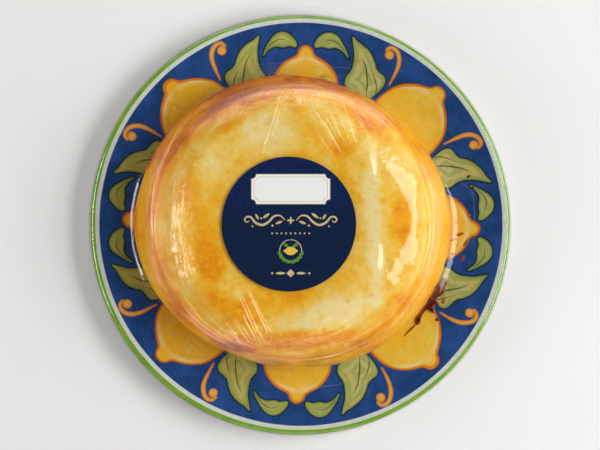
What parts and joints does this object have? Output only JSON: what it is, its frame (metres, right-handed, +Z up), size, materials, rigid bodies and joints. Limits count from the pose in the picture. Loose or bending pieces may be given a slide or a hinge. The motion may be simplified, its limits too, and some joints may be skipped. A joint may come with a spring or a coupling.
{
  "type": "wrapped baked ricotta on a plate",
  "caption": "Low oval baked ricotta on a shallow round painted plate, wrapped in clear shrink film with a round paper sticker on top.",
  "frame": {"origin": "centre of the plate, at the level of its foot ring", "axes": "+Z up out of the plate; +X towards the side where the ricotta slopes away most gently; +Y across"},
  "size_m": [0.141, 0.141, 0.0308],
  "materials": {
    "glazed_plate": "glazed and painted",
    "ricotta": "baked, moist",
    "syrup": "wet",
    "film": "clear and glossy",
    "sticker": "satin paper"
  },
  "bodies": {
    "root": {"plate": "glazed_plate", "ricotta": "ricotta", "syrup": "syrup", "film": "film", "sticker": "sticker"}
  },
  "joints": []
}
